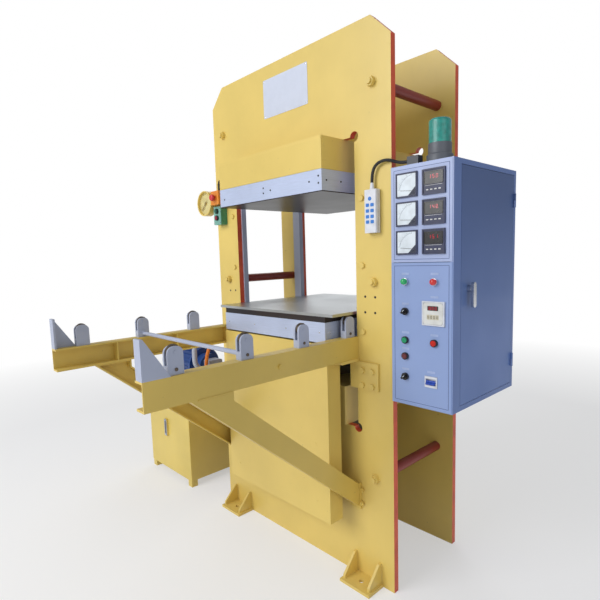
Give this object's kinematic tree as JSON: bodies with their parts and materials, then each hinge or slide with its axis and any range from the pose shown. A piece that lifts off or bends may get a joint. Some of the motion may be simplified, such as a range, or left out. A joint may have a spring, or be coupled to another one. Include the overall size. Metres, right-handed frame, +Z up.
{
  "type": "rubber vulcanizing press",
  "caption": "Window-plate hydraulic press with heated platens, a slide-out tray on roller rails, an electric cabinet and an oil power unit.",
  "frame": {"origin": "on the floor, at the centre of the four anchor holes, midway between the two window plates", "axes": "+Z up; -Y towards the operator, along the slide-out rails; +X towards the electric cabinet"},
  "size_m": [2.398, 1.744, 2.5],
  "materials": {
    "frame_yellow": "satin",
    "rail_yellow": "satin",
    "cover_yellow": "gloss",
    "dark_iron": "oiled",
    "hot_face": "ground",
    "guard_silver": "brushed",
    "tray_steel": "ground",
    "ram_chrome": "polished",
    "post_grey": "satin",
    "roller_steel": "turned",
    "motor_blue": "gloss",
    "tank_yellow": "satin",
    "tie_red": "satin",
    "pipe_grey": "satin",
    "hose_orange": "matte",
    "cabinet_blue": "satin",
    "device_dark": "matte",
    "device_pale": "satin",
    "button_green": "gloss",
    "button_red": "gloss",
    "knob_black": "gloss",
    "toggle_blue": "gloss",
    "lens_teal": "clear",
    "beacon_grey": "satin",
    "pendant_grey": "satin",
    "cable_black": "matte",
    "station_green": "satin",
    "stop_orange": "satin",
    "handle_chrome": "polished",
    "gauge_yellow": "gloss",
    "needle_black": "matte"
  },
  "bodies": {
    "frame": {"front_plate": "frame_yellow", "rear_plate": "frame_yellow", "spacer_tubes": "tie_red", "tie_rods": "frame_yellow", "feet": "frame_yellow", "upper_beam": "frame_yellow", "upper_cover": "cover_yellow", "upper_hot_plate": "hot_face", "upper_guard": "guard_silver", "lower_beam": "frame_yellow", "cylinder": "dark_iron", "guide_bars": "post_grey", "lower_cover": "cover_yellow", "left_rail": "rail_yellow", "right_rail": "rail_yellow", "rail_braces": "rail_yellow", "rail_brackets": "rail_yellow", "end_stops": "post_grey", "roller_posts": "post_grey", "oil_tank": "tank_yellow", "motor": "motor_blue", "pump": "pipe_grey", "oil_pipe": "pipe_grey", "oil_hose": "hose_orange", "cabinet": "cabinet_blue", "panel_devices": "device_dark", "panel_fittings": "handle_chrome", "beacon_base": "beacon_grey", "beacon_lens": "lens_teal", "pendant": "pendant_grey", "pendant_cable": "cable_black", "start_box": "station_green", "stop_box": "stop_orange", "pressure_gauge": "gauge_yellow"},
    "platen": {"ram": "ram_chrome", "moving_table": "dark_iron", "lower_hot_plate": "hot_face", "lower_guard": "guard_silver"},
    "sliding_tray": {"sliding_tray": "tray_steel"},
    "left_roller_1": {"left_roller_1": "roller_steel"},
    "left_roller_2": {"left_roller_2": "roller_steel"},
    "left_roller_3": {"left_roller_3": "roller_steel"},
    "left_roller_4": {"left_roller_4": "roller_steel"},
    "right_roller_1": {"right_roller_1": "roller_steel"},
    "right_roller_2": {"right_roller_2": "roller_steel"},
    "right_roller_3": {"right_roller_3": "roller_steel"},
    "right_roller_4": {"right_roller_4": "roller_steel"},
    "cabinet_door": {"cabinet_door": "cabinet_blue"},
    "door_handle": {"door_handle": "handle_chrome"},
    "green_button": {"green_button": "button_green"},
    "red_button": {"red_button": "button_red"},
    "reset_button": {"reset_button": "button_red"},
    "upper_selector": {"upper_selector": "knob_black"},
    "lower_selector": {"lower_selector": "knob_black"},
    "breaker_toggle": {"breaker_toggle": "toggle_blue"},
    "start_button": {"start_button": "button_green"},
    "stop_button": {"stop_button": "button_red"},
    "emergency_button": {"emergency_button": "button_red"},
    "gauge_needle": {"gauge_needle": "needle_black"},
    "motor_fan": {"motor_fan": "knob_black"}
  },
  "joints": [
    {"name": "platen_lift", "type": "slide", "parent": "frame", "child": "platen", "axis": [0, 0, 1], "range_m": [0, 0.53]},
    {"name": "tray_slide", "type": "slide", "parent": "platen", "child": "sliding_tray", "axis": [0, -1, 0], "range_m": [0, 0.88]},
    {"name": "left_roller_1_spin", "type": "hinge", "parent": "frame", "child": "left_roller_1", "pos_m": [-0.415, -0.32, 1.2327], "axis": [1, 0, 0], "continuous": true},
    {"name": "left_roller_2_spin", "type": "hinge", "parent": "frame", "child": "left_roller_2", "pos_m": [-0.415, -0.61167, 1.2327], "axis": [1, 0, 0], "continuous": true},
    {"name": "left_roller_3_spin", "type": "hinge", "parent": "frame", "child": "left_roller_3", "pos_m": [-0.415, -0.90333, 1.2327], "axis": [1, 0, 0], "continuous": true},
    {"name": "left_roller_4_spin", "type": "hinge", "parent": "frame", "child": "left_roller_4", "pos_m": [-0.415, -1.195, 1.2327], "axis": [1, 0, 0], "continuous": true},
    {"name": "right_roller_1_spin", "type": "hinge", "parent": "frame", "child": "right_roller_1", "pos_m": [0.415, -0.32, 1.2327], "axis": [1, 0, 0], "continuous": true},
    {"name": "right_roller_2_spin", "type": "hinge", "parent": "frame", "child": "right_roller_2", "pos_m": [0.415, -0.61167, 1.2327], "axis": [1, 0, 0], "continuous": true},
    {"name": "right_roller_3_spin", "type": "hinge", "parent": "frame", "child": "right_roller_3", "pos_m": [0.415, -0.90333, 1.2327], "axis": [1, 0, 0], "continuous": true},
    {"name": "right_roller_4_spin", "type": "hinge", "parent": "frame", "child": "right_roller_4", "pos_m": [0.415, -1.195, 1.2327], "axis": [1, 0, 0], "continuous": true},
    {"name": "door_hinge", "type": "hinge", "parent": "frame", "child": "cabinet_door", "pos_m": [0.9053, 0.253, 1.38], "axis": [0, 0, 1], "range_deg": [0, 110]},
    {"name": "handle_turn", "type": "hinge", "parent": "cabinet_door", "child": "door_handle", "pos_m": [0.908, -0.161, 1.38], "axis": [1, 0, 0], "range_deg": [0, 90]},
    {"name": "green_press", "type": "slide", "parent": "frame", "child": "green_button", "axis": [0, 1, 0], "range_m": [0, 0.004], "stiffness_N_per_m": 300, "springref_m": -0.002},
    {"name": "red_press", "type": "slide", "parent": "frame", "child": "red_button", "axis": [0, 1, 0], "range_m": [0, 0.004], "stiffness_N_per_m": 300, "springref_m": -0.002},
    {"name": "reset_press", "type": "slide", "parent": "frame", "child": "reset_button", "axis": [0, 1, 0], "range_m": [0, 0.004], "stiffness_N_per_m": 300, "springref_m": -0.002},
    {"name": "start_press", "type": "slide", "parent": "frame", "child": "start_button", "axis": [0, 1, 0], "range_m": [0, 0.004], "stiffness_N_per_m": 300, "springref_m": -0.002},
    {"name": "stop_press", "type": "slide", "parent": "frame", "child": "stop_button", "axis": [0, 1, 0], "range_m": [0, 0.004], "stiffness_N_per_m": 300, "springref_m": -0.002},
    {"name": "emergency_press", "type": "slide", "parent": "frame", "child": "emergency_button", "axis": [0, 1, 0], "range_m": [0, 0.006], "stiffness_N_per_m": 400, "springref_m": -0.002},
    {"name": "upper_selector_turn", "type": "hinge", "parent": "frame", "child": "upper_selector", "pos_m": [0.693, -0.29, 1.29], "axis": [0, 1, 0], "range_deg": [0, 90]},
    {"name": "lower_selector_turn", "type": "hinge", "parent": "frame", "child": "lower_selector", "pos_m": [0.693, -0.29, 1.018], "axis": [0, 1, 0], "range_deg": [0, 90]},
    {"name": "toggle_flip", "type": "hinge", "parent": "frame", "child": "breaker_toggle", "pos_m": [0.81, -0.279, 1.012], "axis": [-1, 0, 0], "range_deg": [0, 56]},
    {"name": "needle_turn", "type": "hinge", "parent": "frame", "child": "gauge_needle", "pos_m": [-0.675, -0.325, 1.862], "axis": [0, 1, 0], "range_deg": [0, 270]},
    {"name": "fan_spin", "type": "hinge", "parent": "frame", "child": "motor_fan", "pos_m": [-1.425, -0.14, 0.782], "axis": [1, 0, 0], "continuous": true}
  ]
}
